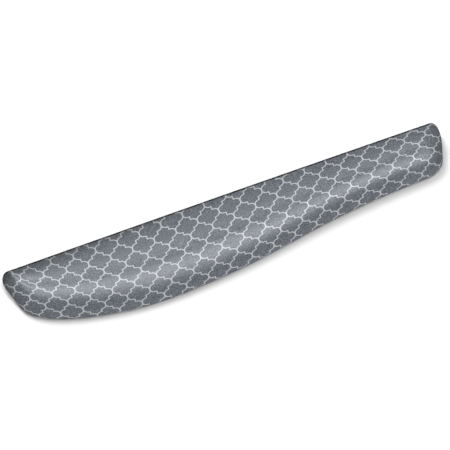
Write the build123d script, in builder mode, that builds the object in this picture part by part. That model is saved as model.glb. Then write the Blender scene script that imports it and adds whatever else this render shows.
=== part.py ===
"""Keyboard wrist rest: a fabric-covered foam pad on a non-skid rubber sheet.

Millimetres, +Z up. X runs along the length, +Y points at the keyboard and -Y at the user.
The origin is on the desk, at the centre of the underside of the bounding box.

The pad is described by two outlines seen from above: the foot outline, where the cover is
widest, and the crown outline, where the flat top begins. Both are walked clockwise from the
right end of the straight back edge. Between them the skin follows a superellipse, which is
tight along the back, rounder at the ends and long and gentle along the wavy front.
"""

import os

from build123d import *

# Overall size
LENGTH = 460.0
DEPTH = 81.0
HEIGHT = 20.0

# Layers, from the desk up
BASE_SHEET = 1.8  # rubber
GLUE = 0.2  # hot-melt film
FABRIC = 0.8  # printed knit
PLUSH = 3.0  # soft foam fused to the back of the knit
FILM = 0.2  # skin that keeps the poured core out of the plush foam

HEM_WIDTH = 9.0  # fabric turned under the core
BASE_INSET = 1.5  # the rubber stands back from the fabric
GLUE_INSET = 3.0
BASE_EDGE_EASE = 0.5

# How the shoulder between the foot and the crown is rounded
RISE_PER_SHOULDER = 1.05  # height of the rounding for each mm that it reaches inwards
ROUND_POWER = 2.0  # a quarter ellipse, on a short shoulder
LONG_POWER = 1.7  # straighter, on the longest one
SHORT_SHOULDER = 20.0
LONG_SHOULDER = 35.0
LEVELS = (0.0, 0.18, 0.36, 0.54, 0.7, 0.83, 0.92, 0.975, 1.0)  # loft sections, by height

# (foot, crown) pairs: mm from the left end, and mm forward of the back edge
STATIONS = [
    ((452.0, 0.0), (448.0, 4.5)),
    ((457.8, 2.2), (449.8, 6.3)),
    ((460.0, 8.0), (449.0, 10.5)),
    ((458.2, 19.5), (446.5, 16.0)),
    ((454.6, 30.5), (442.5, 19.8)),
    ((448.8, 40.5), (437.0, 22.6)),
    ((439.5, 47.6), (430.0, 24.3)),
    ((424.0, 50.7), (419.0, 25.8)),
    ((390.0, 52.6), (387.0, 27.9)),
    ((350.0, 56.3), (346.0, 31.0)),
    ((310.0, 61.9), (304.0, 34.8)),
    ((270.0, 68.8), (263.0, 39.5)),
    ((230.0, 75.0), (224.0, 43.6)),
    ((190.0, 79.0), (186.0, 46.2)),
    ((150.0, DEPTH), (148.0, 47.2)),
    ((112.0, 79.3), (112.0, 45.2)),
    ((75.0, 73.2), (78.0, 40.6)),
    ((43.0, 64.2), (51.0, 34.6)),
    ((21.5, 53.8), (35.0, 28.8)),
    ((10.0, 43.5), (25.0, 24.2)),
    ((5.0, 31.0), (19.0, 19.2)),
    ((2.0, 18.0), (14.8, 14.3)),
    ((0.0, 7.0), (11.8, 9.2)),
    ((1.8, 1.8), (10.4, 6.0)),
    ((6.5, 0.0), (11.5, 4.5)),
]

WINDOW_STATIONS = range(3, 22)  # all but the two back corners

GLUE_TOP = BASE_SHEET + GLUE
HEM_TOP = GLUE_TOP + FABRIC
PLUSH_DEPTH = FABRIC + PLUSH  # how far below the outside each layer ends
FILM_DEPTH = PLUSH_DEPTH + FILM


def in_frame(point):
    """A station's point, measured from the left back corner, as a vector in the frame."""
    along, forward = point
    return Vector(along - LENGTH / 2, DEPTH / 2 - forward)


FEET = [in_frame(foot) for foot, crown in STATIONS]
CROWNS = [in_frame(crown) for foot, crown in STATIONS]


def inset_foot(index, inset):
    """A point of the foot outline, moved inwards, square to the outline."""
    after = FEET[(index + 1) % len(FEET)]
    before = FEET[index - 1]
    if index in (0, len(FEET) - 1):
        inwards = Vector(0, -1)  # the ends of the straight back edge
    else:
        tangent = (after - before).normalized()
        inwards = Vector(tangent.Y, -tangent.X)
    return FEET[index] + inwards * inset


def skin_points(inset, height):
    """The outline of the surface that lies inset below the outside, at a height."""
    points = []
    for index, crown in enumerate(CROWNS):
        foot = inset_foot(index, inset)
        reach = crown - foot
        shoulder = reach.length
        rise = min(RISE_PER_SHOULDER * shoulder, HEIGHT - GLUE_TOP - inset)
        climbed = max(0.0, (height - (HEIGHT - inset - rise)) / rise)
        stretch = (shoulder - SHORT_SHOULDER) / (LONG_SHOULDER - SHORT_SHOULDER)
        stretch = min(1.0, max(0.0, stretch))
        power = ROUND_POWER + (LONG_POWER - ROUND_POWER) * stretch
        share = 1 - max(0.0, 1 - climbed**power) ** (1 / power)
        points.append(foot + reach * share)
    return points


def outline(points):
    """Draws a closed outline: the straight back edge, and one curve round the rest."""
    Line(points[-1], points[0])
    Spline(points, tangents=[(1, 0), (1, 0)], tangent_scalars=(1, 1))


def pad_body(inset, bottom):
    """The solid under the surface that lies inset below the outside, down to bottom."""
    top = HEIGHT - inset
    with BuildPart() as body:
        for level in LEVELS:
            height = bottom + (top - bottom) * level
            with BuildSketch(Plane.XY.offset(height)):
                with BuildLine():
                    outline(skin_points(inset, height))
                make_face()
        loft()
    return body.part


def foot_points(inset):
    """The foot outline, moved inwards."""
    return [inset_foot(index, inset) for index in range(len(FEET))]


# Rubber sheet that the rest stands on, its lower edge eased
with BuildPart() as non_skid_base:
    for height, inset in ((0, BASE_INSET + BASE_EDGE_EASE), (BASE_EDGE_EASE, BASE_INSET)):
        with BuildSketch(Plane.XY.offset(height)):
            with BuildLine():
                outline(foot_points(inset))
            make_face()
    loft()
    with BuildSketch(Plane.XY.offset(BASE_EDGE_EASE)):
        with BuildLine():
            outline(foot_points(BASE_INSET))
        make_face()
    extrude(amount=BASE_SHEET - BASE_EDGE_EASE)

# Hot-melt film between the rubber and the pad
with BuildPart() as base_adhesive:
    with BuildSketch(Plane.XY.offset(BASE_SHEET)):
        with BuildLine():
            outline(foot_points(GLUE_INSET))
        make_face()
    extrude(amount=GLUE)

# Window that the turned hem leaves in the middle of the underside
window_curve = [inset_foot(index, HEM_WIDTH) for index in WINDOW_STATIONS]
window_back = DEPTH / 2 - HEM_WIDTH
with BuildPart() as hem_window:
    with BuildSketch(Plane.XY.offset(GLUE_TOP)):
        with BuildLine():
            Spline(window_curve)
            Polyline(
                window_curve[-1],
                (window_curve[-1].X, window_back),
                (window_curve[0].X, window_back),
                window_curve[0],
            )
        make_face()
    extrude(amount=FABRIC)

# Printed knit: the whole visible skin, turned under in a flat hem
with BuildPart() as fabric_cover:
    add(pad_body(0, GLUE_TOP))
    add(pad_body(FABRIC, HEM_TOP), mode=Mode.SUBTRACT)
    add(hem_window.part, mode=Mode.SUBTRACT)

# Soft foam fused to the knit
with BuildPart() as plush_foam:
    add(pad_body(FABRIC, HEM_TOP))
    add(pad_body(PLUSH_DEPTH, HEM_TOP), mode=Mode.SUBTRACT)

# Barrier film under the plush foam
with BuildPart() as barrier_film:
    add(pad_body(PLUSH_DEPTH, HEM_TOP))
    add(pad_body(FILM_DEPTH, HEM_TOP), mode=Mode.SUBTRACT)

# Poured foam core, which also fills the window inside the hem
with BuildPart() as foam_core:
    add(pad_body(FILM_DEPTH, HEM_TOP))
    add(hem_window.part)

os.makedirs("parts", exist_ok=True)
SUB_PARTS = {
    "non_skid_base": non_skid_base,
    "base_adhesive": base_adhesive,
    "fabric_cover": fabric_cover,
    "plush_foam": plush_foam,
    "barrier_film": barrier_film,
    "foam_core": foam_core,
}
for name, sub_part in SUB_PARTS.items():
    sub_part.part.label = name
    export_step(sub_part.part, f"parts/{name}.step")
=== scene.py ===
"""Looks of the keyboard wrist rest: printed knit skin, inner layers, studio floor, lights and camera."""

import math

import bpy
import numpy as np
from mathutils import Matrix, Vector


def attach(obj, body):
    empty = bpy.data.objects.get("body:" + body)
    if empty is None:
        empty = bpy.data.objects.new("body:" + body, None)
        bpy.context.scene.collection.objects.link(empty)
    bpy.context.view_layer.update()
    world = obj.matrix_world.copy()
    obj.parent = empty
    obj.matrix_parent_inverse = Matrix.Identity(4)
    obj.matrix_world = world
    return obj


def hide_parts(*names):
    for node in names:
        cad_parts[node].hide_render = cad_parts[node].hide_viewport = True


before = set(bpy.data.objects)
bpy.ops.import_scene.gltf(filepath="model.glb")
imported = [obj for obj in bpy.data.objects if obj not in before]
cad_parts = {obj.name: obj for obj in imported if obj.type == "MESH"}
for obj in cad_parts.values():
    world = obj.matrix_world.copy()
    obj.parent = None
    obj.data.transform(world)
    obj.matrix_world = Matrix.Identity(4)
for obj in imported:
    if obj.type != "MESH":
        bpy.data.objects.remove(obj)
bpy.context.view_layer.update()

MM = 0.001

# ---------------------------------------------------------------- the skin's shape, in mm
LENGTH = 460.0
DEPTH = 81.0
HEIGHT = 20.0
SKIN_FOOT = 2.0  # top of the rubber sheet and its glue
DOME = 0.7  # how far the top rises from its rim to its spine
RISE_PER_SHOULDER = 1.05  # height of the rounding for each mm that it reaches inwards

# A shoulder's section is a quarter oval, and a plain one where its power is 2. Up to the short
# length it has the round power, and from the long length on the long one, which is straighter.
ROUND_POWER = 2.0
LONG_POWER = 1.7
SHORT_SHOULDER = 20.0
LONG_SHOULDER = 35.0

SPINE_LEFT = 26.0  # how far short of the left end the top's spine stops
SPINE_RIGHT = 20.0
BACK_LINE = 1.0  # crown points this near to the back belong to its straight back line

# the hem's rows: how far in from the foot each lies, and how far above SKIN_FOOT
HEM_WIDTH = 9.0
HEM_ROWS = ((HEM_WIDTH, 0.0), (4.0, 0.0), (1.2, 0.0), (0.3, 0.25))
HEM_TURN = 0.9  # how far above SKIN_FOOT the wall starts
INSET_LIMIT = 0.85  # the farthest that an inset goes, as a share of the shoulder

RING_STEP = 1.3
BACK_STEP = 2.6
WALL_ROWS = 4
SHOULDER_ROWS = 26
TOP_ROWS = 14
WELD_DISTANCE = 0.02  # the spine's points are reached from both sides, and meet there

# (foot, crown) pairs, walked clockwise from the right end of the straight back edge: mm from
# the left end, and mm forward of the back edge. They are the CAD's, except that the points
# nearest to each end make the corners a little tighter and the left end lean in sooner.
STATIONS = [
    ((453.2, 0.0), (448.6, 4.5)),
    ((458.6, 2.2), (450.2, 6.3)),
    ((460.0, 8.0), (449.0, 10.5)),
    ((458.2, 19.5), (446.5, 16.0)),
    ((454.6, 30.5), (442.5, 19.8)),
    ((449.8, 41.0), (437.6, 22.8)),
    ((440.8, 48.0), (430.8, 24.5)),
    ((424.0, 50.7), (419.0, 25.8)),
    ((390.0, 52.6), (387.0, 27.9)),
    ((350.0, 56.3), (346.0, 31.0)),
    ((310.0, 61.9), (304.0, 34.8)),
    ((270.0, 68.8), (263.0, 39.5)),
    ((230.0, 75.0), (224.0, 43.6)),
    ((190.0, 79.0), (186.0, 46.2)),
    ((150.0, DEPTH), (148.0, 47.2)),
    ((112.0, 79.3), (112.0, 45.2)),
    ((75.0, 73.2), (78.0, 40.6)),
    ((43.0, 64.2), (51.0, 34.6)),
    ((21.5, 53.8), (35.0, 28.8)),
    ((10.0, 43.5), (25.0, 24.2)),
    ((5.0, 31.0), (19.0, 19.2)),
    ((2.2, 18.0), (14.8, 14.3)),
    ((0.1, 7.4), (11.9, 9.3)),
    ((0.9, 2.2), (10.4, 6.1)),
    ((4.6, 0.0), (11.0, 4.5)),
]


def spline(knots, values, start, end, at):
    """The smooth cubic curve through values at knots, with the given end slopes."""
    gaps = np.diff(knots)
    count = len(knots)
    left = np.eye(count)
    right = np.zeros(values.shape)
    right[0] = start
    right[-1] = end
    for i in range(1, count - 1):
        before, after = gaps[i - 1], gaps[i]
        left[i, i - 1 : i + 2] = 1 / before, 2 * (1 / before + 1 / after), 1 / after
        step_in = (values[i] - values[i - 1]) / before**2
        step_out = (values[i + 1] - values[i]) / after**2
        right[i] = 3 * (step_in + step_out)
    slopes = np.linalg.solve(left, right)
    k = np.clip(np.searchsorted(knots, at) - 1, 0, count - 2)
    gap = gaps[k][:, None]
    u = ((at - knots[k]) / gaps[k])[:, None]
    return (
        (2 * u**3 - 3 * u**2 + 1) * values[k]
        + (u**3 - 2 * u**2 + u) * gap * slopes[k]
        + (3 * u**2 - 2 * u**3) * values[k + 1]
        + (u**3 - u**2) * gap * slopes[k + 1]
    )


def in_frame(points):
    """Stations' points, measured from the left back corner, in the shared frame, in mm."""
    return np.array([(along - LENGTH / 2, DEPTH / 2 - forward) for along, forward in points])


def outlines():
    """The foot and crown outlines, walked together in small steps."""
    feet = in_frame([foot for foot, crown in STATIONS])
    crowns = in_frame([crown for foot, crown in STATIONS])
    knots = np.concatenate([[0], np.cumsum(np.linalg.norm(np.diff(feet, axis=0), axis=1))])
    at = np.linspace(0, knots[-1], int(knots[-1] / RING_STEP))
    along_back = (1, 0)  # the curves leave the back edge, and come back to it, along it
    foot = spline(knots, feet, along_back, along_back, at)
    crown = spline(knots, crowns, along_back, along_back, at)
    span = np.linalg.norm(foot[0] - foot[-1])
    share = np.linspace(0, 1, int(span / BACK_STEP))[1:-1, None]
    foot = np.concatenate([foot, foot[-1] + (foot[0] - foot[-1]) * share])
    crown = np.concatenate([crown, crown[-1] + (crown[0] - crown[-1]) * share])
    return foot, crown


def inset_foot(foot, crown, inset):
    """The foot outline moved in by inset, and never as far as the crown."""
    reach = crown - foot
    shoulder = np.linalg.norm(reach, axis=1)[:, None]
    return foot + reach * np.minimum(inset / shoulder, INSET_LIMIT)


def at_height(plan, height):
    """Plan points with their heights."""
    return np.column_stack([plan, np.broadcast_to(height, len(plan))])


def side_rows(foot, crown):
    """Rows of points from the foot up the wall and over the shoulder to the crown."""
    reach = crown - foot
    shoulder = np.linalg.norm(reach, axis=1)
    rim = HEIGHT - DOME
    rise = np.minimum(RISE_PER_SHOULDER * shoulder, rim - SKIN_FOOT)
    stretch = np.clip((shoulder - SHORT_SHOULDER) / (LONG_SHOULDER - SHORT_SHOULDER), 0, 1)
    power = ROUND_POWER + (LONG_POWER - ROUND_POWER) * stretch
    rows = []
    for share in np.linspace(0, 1, WALL_ROWS + 1)[:-1]:
        rows.append(at_height(foot, SKIN_FOOT + (rim - rise - SKIN_FOOT) * share))
    for turn in np.linspace(0, math.pi / 2, SHOULDER_ROWS):
        inwards = 1 - math.cos(turn) ** (2 / power)
        up = math.sin(turn) ** (2 / power)
        rows.append(at_height(foot + reach * inwards[:, None], rim - rise + rise * up))
    return np.array(rows)


def side_cloth(rows, foot, crown):
    """Where side_rows' points lie on the cloth, when it is rolled out flat round the top."""
    steps = np.linalg.norm(np.diff(rows, axis=0), axis=2)
    down = np.concatenate([np.cumsum(steps[::-1], axis=0)[::-1], np.zeros((1, len(foot)))])
    reach = crown - foot
    outwards = -reach / np.linalg.norm(reach, axis=1)[:, None]
    return crown[None] + outwards[None] * down[..., None]


def top_plans(crown):
    """The top's rows as plans, and how far each has come from the crown to the spine, which
    lies midway between the crown's front and back."""
    back = crown[:, 1].max()
    front = crown[crown[:, 1] < back - BACK_LINE]
    front = front[np.argsort(front[:, 0])]
    spine_x = np.clip(crown[:, 0], -LENGTH / 2 + SPINE_LEFT, LENGTH / 2 - SPINE_RIGHT)
    spine_y = (np.interp(spine_x, front[:, 0], front[:, 1]) + back) / 2
    spine = np.column_stack([spine_x, spine_y])
    shares = np.linspace(0, 1, TOP_ROWS + 1)[1:]
    return shares, [crown + (spine - crown) * share for share in shares]


def skin_rows(foot, crown):
    """The skin's points, row by row from the inner edge of the hem up to the spine, and each
    one's place on the cloth."""
    side = side_rows(foot, crown)
    cloth = side_cloth(side, foot, crown)
    side[0][:, 2] += HEM_TURN
    hem = [at_height(inset_foot(foot, crown, inset), SKIN_FOOT + lift) for inset, lift in HEM_ROWS]
    shares, plans = top_plans(crown)
    domes = HEIGHT - DOME * (1 + np.cos(math.pi * shares)) / 2
    top = [at_height(plan, dome) for plan, dome in zip(plans, domes)]
    return (
        np.concatenate([hem, side, top]),
        np.concatenate([[cloth[0]] * len(hem), cloth, plans]),
    )


# ---------------------------------------------------------------- the trellis print
def lattice(cloth):
    """Cloth position in mm -> place in the print: half tiles along the row, half tiles forward.

    The cloth was stretched over the foam. Its rows bow towards the user in the left half and
    run back at the right end, where its columns lean to the right at the front."""
    x = cloth[:, 0] / (LENGTH / 2)
    y = cloth[:, 1] / (DEPTH / 2)
    along = 16.64 + 19.19 * x - 0.31 * x**2 + 0.66 * x**3
    along += (0.10 + 0.49 * x + 0.33 * x**2 - 0.27 * x**3) * y - (0.19 + 0.09 * x) * y**2
    forward = 2.01 + 2.49 * x + 0.58 * x**2 - 1.85 * x**3 + 0.89 * x**4
    forward -= (3.50 + 0.40 * x + 0.65 * x**2 - 0.12 * x**3) * y - (0.27 - 0.09 * x) * y**2
    return np.column_stack([along, forward])


# ---------------------------------------------------------------- meshes
def new_object(name, verts, faces, smooth=True):
    """A mesh object in the scene."""
    mesh = bpy.data.meshes.new(name)
    mesh.from_pydata([tuple(v) for v in verts], [], faces)
    mesh.validate()
    for polygon in mesh.polygons:
        polygon.use_smooth = smooth
    piece = bpy.data.objects.new(name, mesh)
    bpy.context.scene.collection.objects.link(piece)
    return piece


def add_uv(piece, name, values):
    """A UV map from one (u, v) for each vertex."""
    layer = piece.data.uv_layers.new(name=name)
    index = np.empty(len(piece.data.loops), dtype=np.int32)
    piece.data.loops.foreach_get("vertex_index", index)
    layer.data.foreach_set("uv", values[index].astype(np.float32).ravel())


def cover_skin(foot, crown):
    """The visible cloth, with its place in the print and its place in metres as UV maps."""
    rows, cloth = skin_rows(foot, crown)
    ring = len(foot)
    faces = []
    for row in range(len(rows) - 1):
        for i in range(ring):
            j = (i + 1) % ring
            lower, upper = row * ring, (row + 1) * ring
            faces.append((lower + i, upper + i, upper + j, lower + j))
    cover = new_object("cover_skin", rows.reshape(-1, 3) * MM, faces)
    cloth = cloth.reshape(-1, 2)
    add_uv(cover, "print", lattice(cloth))
    add_uv(cover, "cloth", cloth * MM)
    weld = cover.modifiers.new("weld_spine", "WELD")
    weld.merge_threshold = WELD_DISTANCE * MM
    return cover


# ---------------------------------------------------------------- materials
class Nodes:
    """Short hand for building a material's node tree."""

    def __init__(self, name):
        self.material = bpy.data.materials.new(name)
        self.material.use_nodes = True
        self.tree = self.material.node_tree
        self.shader = self.tree.nodes["Principled BSDF"]

    def new(self, kind, **settings):
        node = self.tree.nodes.new(kind)
        for key, value in settings.items():
            setattr(node, key, value)
        return node

    def fill(self, node, inputs):
        """Link sockets to a node's inputs, or set values on them."""
        for key, value in inputs.items():
            if isinstance(value, bpy.types.NodeSocket):
                self.tree.links.new(value, node.inputs[key])
            else:
                node.inputs[key].default_value = value
        return node

    def place(self):
        """Position in metres."""
        return self.new("ShaderNodeTexCoord").outputs["Object"]

    def split(self, vector):
        """A vector's x, y and z."""
        return self.fill(self.new("ShaderNodeSeparateXYZ"), {0: vector}).outputs

    def math(self, operation, *values):
        node = self.new("ShaderNodeMath", operation=operation)
        return self.fill(node, dict(enumerate(values))).outputs[0]

    def one_minus(self, value):
        return self.math("SUBTRACT", 1.0, value)

    def pick(self, choice, on, off):
        """on where choice is 1, and off where it is 0."""
        kept = self.math("MULTIPLY", on, choice)
        rest = self.math("MULTIPLY", off, self.one_minus(choice))
        return self.math("ADD", kept, rest)

    def lessen(self, value, where, share):
        """value, less that share of it where `where` is 1."""
        return self.math("MULTIPLY", value, self.one_minus(self.math("MULTIPLY", where, share)))

    def mix(self, factor, a, b):
        node = self.new("ShaderNodeMix", data_type="RGBA")
        return self.fill(node, {"Factor": factor, "A": a, "B": b}).outputs["Result"]

    def ramp(self, value, low, high):
        """0 at low, 1 at high and smooth between."""
        node = self.new("ShaderNodeMapRange", interpolation_type="SMOOTHSTEP")
        self.fill(node, {"Value": value, "From Min": low, "From Max": high})
        return node.outputs["Result"]

    def noise(self, vector, scale, detail, roughness=0.5):
        node = self.new("ShaderNodeTexNoise")
        self.fill(node, {"Vector": vector, "Scale": scale, "Detail": detail, "Roughness": roughness})
        return node.outputs["Fac"]

    def cells(self, vector, scale, randomness=1.0):
        """Distance from the middle of the nearest cell."""
        node = self.new("ShaderNodeTexVoronoi", feature="F1")
        self.fill(node, {"Vector": vector, "Scale": scale, "Randomness": randomness})
        return node.outputs["Distance"]

    def loops(self, vector, direction, scale):
        """Wavy bands, one for each row or column of knit loops."""
        node = self.new("ShaderNodeTexWave", wave_type="BANDS", bands_direction=direction)
        self.fill(node, {"Vector": vector, "Scale": scale, "Distortion": LOOP_DISTORTION})
        return node.outputs["Fac"]

    def relief(self, height, strength, depth):
        """Fine relief on the surface, depth metres deep at full strength."""
        node = self.new("ShaderNodeBump")
        self.fill(node, {"Height": height, "Strength": strength, "Distance": depth})
        self.fill(self.shader, {"Normal": node.outputs[0]})


# One edge of a tile runs from a lobe's side, where it stands upright, through a quarter oval to
# the jog, and on through a second quarter oval to the next corner. A tile edge spans one step
# along and one step forward, and is the same turned half round. Lengths are in steps.
LINE_HALF = 0.046  # half of the printed line's width
LINE_SOFT = 0.012  # how far the line's edge fades on either side
CELL_MIDDLE = 0.5
JOG_ALONG = CELL_MIDDLE
JOG_HALF = 0.13  # half of the jog's length
SQUARENESS = 2.3  # 2 would be an oval
FAR = 9.0  # farther than any line

GROUND = (0.173, 0.189, 0.213, 1)
GROUND_DARK = (0.076, 0.084, 0.096, 1)
LINE = (0.465, 0.477, 0.498, 1)
GLOSS_TINT = (0.93, 0.95, 1.0, 1)

# scales of noise and cells are in cycles per metre, and a band's scale of 1 is 20 radians per metre
YARN_SCALE = 900.0
YARN_DARKEST, YARN_PALEST = 0.34, 0.66
BLOTCH_SCALE = 45.0
BLOTCH_BASE = 0.94  # the shade in the darkest blotch
BLOTCH_CHANGE = 0.12
ROW_SCALE = 420.0
COLUMN_SCALE = 520.0
LOOP_DISTORTION = 1.5

# painted shade: the cloth's colour is made darker where it rolls over the back edge, which is told
# from its normal's y, and less so where it stands upright
ROLL_START, ROLL_END = 0.12, 0.5
ROLL_PAINTED_SHADE = 0.85
UPRIGHT_START, UPRIGHT_END = 0.9, 0.99
UPRIGHT_RELIEF = 0.6
# painted shade in a band along the back of the top, most at the left: metres on the cloth
BAND_START, BAND_END = 0.022, 0.039
LEFT_START, LEFT_END = -0.2, 0.05
BAND_PAINTED_SHADE = 0.20
LEFT_PAINTED_SHADE = 0.38

# each inner material's darker and paler colour
RUBBER = (0.035, 0.036, 0.039, 1), (0.06, 0.061, 0.064, 1)
HOT_MELT = (0.62, 0.58, 0.44, 1), (0.75, 0.72, 0.6, 1)
BARRIER = (0.7, 0.7, 0.68, 1), (0.82, 0.82, 0.8, 1)
PLUSH = (0.45, 0.46, 0.48, 1), (0.6, 0.61, 0.63, 1)
CORE = (0.08, 0.08, 0.09, 1), (0.15, 0.15, 0.16, 1)
RUBBER_DIMPLES = 700.0
RUBBER_ROUGHNESS = 0.62
GRIME_SCALE = 60.0
GRIME_ROUGHNESS = 0.2
FILM_CLOUDS = 90.0
PLUSH_CELLS = 900.0
CORE_CELLS = 1500.0


def trellis(n, uv):
    """1 on the printed lines and 0 off them."""
    u, v, _ = n.split(uv)
    # fold the print into one cell of one step by one step, mirrored so that the edge always
    # runs from the corner at (0, 0) to the corner at (1, 1)
    column, row = n.math("FLOOR", u), n.math("FLOOR", v)
    along, forward = n.math("SUBTRACT", u, column), n.math("SUBTRACT", v, row)
    odd = n.math("ABSOLUTE", n.math("MODULO", n.math("ADD", column, row), 2.0))
    along = n.pick(odd, n.one_minus(along), along)
    # the edge is the same turned half round: fold the half beyond the jog back
    beyond = n.math("GREATER_THAN", n.math("ADD", along, forward), 1.0)
    along = n.pick(beyond, n.one_minus(along), along)
    forward = n.pick(beyond, n.one_minus(forward), forward)
    # quarter oval from (0, 0), upright, to (JOG_ALONG, top), level: centre (JOG_ALONG, 0)
    top = CELL_MIDDLE - JOG_HALF
    across = n.math("DIVIDE", n.math("SUBTRACT", JOG_ALONG, along), JOG_ALONG)
    across = n.math("POWER", n.math("ABSOLUTE", across), SQUARENESS)
    up = n.math("POWER", n.math("ABSOLUTE", n.math("DIVIDE", forward, top)), SQUARENESS)
    radius = n.math("POWER", n.math("ADD", across, up), 1 / SQUARENESS)
    off_oval = n.math("ABSOLUTE", n.math("SUBTRACT", radius, 1.0))
    oval = n.math("MULTIPLY", off_oval, (JOG_ALONG + top) / 2)
    # past the jog the oval doesn't count
    past = n.math("GREATER_THAN", along, JOG_ALONG)
    oval = n.math("ADD", oval, n.math("MULTIPLY", past, FAR))
    # the jog: a short upright stroke through the middle
    side = n.math("ABSOLUTE", n.math("SUBTRACT", along, JOG_ALONG))
    from_middle = n.math("ABSOLUTE", n.math("SUBTRACT", forward, CELL_MIDDLE))
    over = n.math("MAXIMUM", 0.0, n.math("SUBTRACT", from_middle, JOG_HALF))
    squares = n.math("ADD", n.math("MULTIPLY", side, side), n.math("MULTIPLY", over, over))
    distance = n.math("MINIMUM", oval, n.math("SQRT", squares))
    return n.ramp(distance, LINE_HALF + LINE_SOFT, LINE_HALF - LINE_SOFT)


def blotches_and_painted_shade(n, cloth_uv):
    """How light the cloth is: broad soft blotches of tone, and painted shade at and near the back edge.
    """
    blotch = n.noise(n.place(), BLOTCH_SCALE, detail=3.0)
    shade = n.math("ADD", BLOTCH_BASE, n.math("MULTIPLY", blotch, BLOTCH_CHANGE))
    # painted shade where the cloth rolls over the back edge, less where it stands upright
    facing_back = n.split(n.new("ShaderNodeNewGeometry").outputs["Normal"])[1]
    rolled = n.ramp(facing_back, ROLL_START, ROLL_END)
    upright = n.ramp(facing_back, UPRIGHT_START, UPRIGHT_END)
    shade = n.lessen(shade, n.lessen(rolled, upright, UPRIGHT_RELIEF), ROLL_PAINTED_SHADE)
    # painted shade in a band along the back, strongest at the left
    along, forward, _ = n.split(cloth_uv)
    band = n.ramp(forward, BAND_START, BAND_END)
    to_left = n.one_minus(n.ramp(along, LEFT_START, LEFT_END))
    painted_band_shade = n.math("ADD", BAND_PAINTED_SHADE, n.math("MULTIPLY", to_left, LEFT_PAINTED_SHADE))
    return n.lessen(shade, band, painted_band_shade)


def knit_material():
    """Heathered knit with the trellis printed on it, in rows of small loops."""
    n = Nodes("printed_knit")
    print_uv = n.new("ShaderNodeUVMap", uv_map="print").outputs[0]
    cloth_uv = n.new("ShaderNodeUVMap", uv_map="cloth").outputs[0]
    yarn = n.noise(n.place(), YARN_SCALE, detail=2.0, roughness=0.6)
    ground = n.mix(n.ramp(yarn, YARN_DARKEST, YARN_PALEST), GROUND_DARK, GROUND)
    # the knit's colour is scaled by the blotches and by painted shade at the back edge
    colour = n.new("ShaderNodeVectorMath", operation="SCALE")
    printed = n.mix(trellis(n, print_uv), ground, LINE)
    n.fill(colour, {0: printed, "Scale": blotches_and_painted_shade(n, cloth_uv)})
    look = {
        "Base Color": colour.outputs[0],
        "Roughness": 0.24,
        "Specular IOR Level": 1.0,
        "Specular Tint": GLOSS_TINT,
        "Sheen Weight": 0.05,
        "Sheen Roughness": 0.4,
    }
    n.fill(n.shader, look)
    loops = n.math("MULTIPLY", n.loops(cloth_uv, "X", ROW_SCALE), n.loops(cloth_uv, "Y", COLUMN_SCALE))
    n.relief(n.math("ADD", loops, yarn), strength=0.25, depth=0.0002)
    return n.material


def rubber_material():
    """Dark rubber with dimples and a little dust."""
    n = Nodes("dimpled_rubber")
    grime = n.noise(n.place(), GRIME_SCALE, detail=4.0)
    roughness = n.math("ADD", RUBBER_ROUGHNESS, n.math("MULTIPLY", grime, GRIME_ROUGHNESS))
    n.fill(n.shader, {"Base Color": n.mix(grime, *RUBBER), "Roughness": roughness})
    n.relief(n.cells(n.place(), RUBBER_DIMPLES, randomness=0.25), strength=0.5, depth=0.0004)
    return n.material


def foam_material(name, colours, scale):
    """Foam with cells of the given scale."""
    n = Nodes(name)
    cells = n.cells(n.place(), scale)
    n.fill(n.shader, {"Base Color": n.mix(cells, *colours), "Roughness": 0.9})
    n.relief(cells, strength=0.6, depth=0.0004)
    return n.material


def film_material(name, colours, roughness):
    """Smooth film with faint clouds in it."""
    n = Nodes(name)
    clouds = n.noise(n.place(), FILM_CLOUDS, detail=3.0)
    n.fill(n.shader, {"Base Color": n.mix(clouds, *colours), "Roughness": roughness})
    return n.material


def wear(node, material):
    """Put the material on a CAD node."""
    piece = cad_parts[node]
    for material_slot in piece.material_slots:
        material_slot.material = material
    if not piece.material_slots:
        piece.data.materials.append(material)


foot, crown = outlines()
cover = cover_skin(foot, crown)
cover.data.materials.append(knit_material())
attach(cover, "root")
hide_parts("fabric_cover")

wear("non_skid_base", rubber_material())
wear("base_adhesive", film_material("hot_melt_film", HOT_MELT, roughness=0.4))
wear("barrier_film", film_material("barrier_film", BARRIER, roughness=0.35))
wear("plush_foam", foam_material("plush_foam", PLUSH, PLUSH_CELLS))
wear("foam_core", foam_material("core_foam", CORE, CORE_CELLS))

# ---------------------------------------------------------------- floor, light and camera
FLOOR = 3.0  # half of the floor's side, in m
FLOOR_HOLE_INSET = 4.0  # mm inside the pad's foot, so that the hole never shows from above
FLOOR_GREY = (0.91, 0.91, 0.91, 1)
WORLD_STRENGTH = 0.07


def studio_floor(foot, crown):
    """A square floor that is open below the pad, so that the underside can be looked at."""
    hole = inset_foot(foot, crown, FLOOR_HOLE_INSET) * MM
    edge = hole / np.abs(hole).max(axis=1)[:, None] * FLOOR
    ring = len(hole)
    points = at_height(np.concatenate([hole, edge]), 0.0)
    after = [(i + 1) % ring for i in range(ring)]
    faces = [(i, j, ring + j, ring + i) for i, j in enumerate(after)]
    floor = new_object("floor", points, faces, smooth=False)
    n = Nodes("studio_floor")
    n.fill(n.shader, {"Base Color": FLOOR_GREY, "Roughness": 0.9})
    floor.data.materials.append(n.material)
    floor.visible_glossy = False
    return floor


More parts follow.
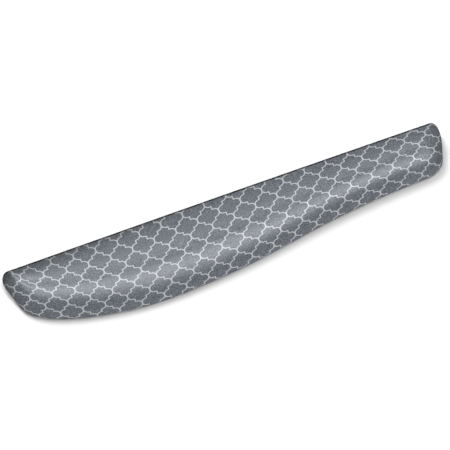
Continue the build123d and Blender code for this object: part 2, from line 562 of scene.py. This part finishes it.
def softbox(name, at, width, depth, power, streak=False):
    """An oblong lamp aimed at the pad. A streak is seen only in reflections, and the other
    lamps are never seen in them."""
    light = bpy.data.lights.new(name, "AREA")
    light.shape = "RECTANGLE"
    light.size = width
    light.size_y = depth
    light.energy = power
    lamp = bpy.data.objects.new(name, light)
    lamp.location = at
    lamp.visible_glossy = streak
    lamp.visible_diffuse = not streak
    lamp.rotation_euler = (-Vector(at)).to_track_quat("-Z", "Y").to_euler()
    scene.collection.objects.link(lamp)


floor = studio_floor(foot, crown)

scene = bpy.context.scene
scene.view_settings.view_transform = "Standard"
world = bpy.data.worlds.new("studio")
scene.world = world
world.use_nodes = True
world.cycles_visibility.glossy = False
background = world.node_tree.nodes["Background"]
background.inputs["Color"].default_value = (1, 1, 1, 1)
background.inputs["Strength"].default_value = WORLD_STRENGTH

softbox("overhead_softbox", at=(0.6, 0.05, 2.1), width=2.2, depth=0.22, power=20.0)
softbox("crest_strip", at=(0.1, 0.13, 2.2), width=3.0, depth=0.14, power=30.0, streak=True)
softbox("back_softbox", at=(-0.4, 2.2, 1.9), width=1.7, depth=1.5, power=103.0)
softbox("front_fill", at=(-0.2, -2.6, 0.7), width=4.5, depth=1.0, power=78.0)
softbox("under_fill", at=(-0.6, -1.0, -2.0), width=2.0, depth=1.0, power=66.0)

# the photograph's angle: the camera stands high in front, and to the left by TURN
TURN = math.radians(21.97)
TILT = math.radians(60.54)
DISTANCE = 7.524
AIM = Vector((0, 0.0025, 0))
AIM_RIGHT = -0.00887  # then shifted in the picture's own right and up
AIM_UP = 0.0103
to_camera = Vector((-math.sin(TURN) * math.cos(TILT), -math.cos(TURN) * math.cos(TILT), math.sin(TILT)))
right = Vector((math.cos(TURN), -math.sin(TURN), 0))
up = to_camera.cross(right)
camera = bpy.data.cameras.new("camera")
camera.sensor_width = 36
camera.lens = 614.5
camera.clip_end = 50
camera_object = bpy.data.objects.new("camera", camera)
camera_object.location = AIM + right * AIM_RIGHT + up * AIM_UP + to_camera * DISTANCE
camera_object.rotation_euler = to_camera.to_track_quat("Z", "Y").to_euler()
scene.collection.objects.link(camera_object)
scene.camera = camera_object
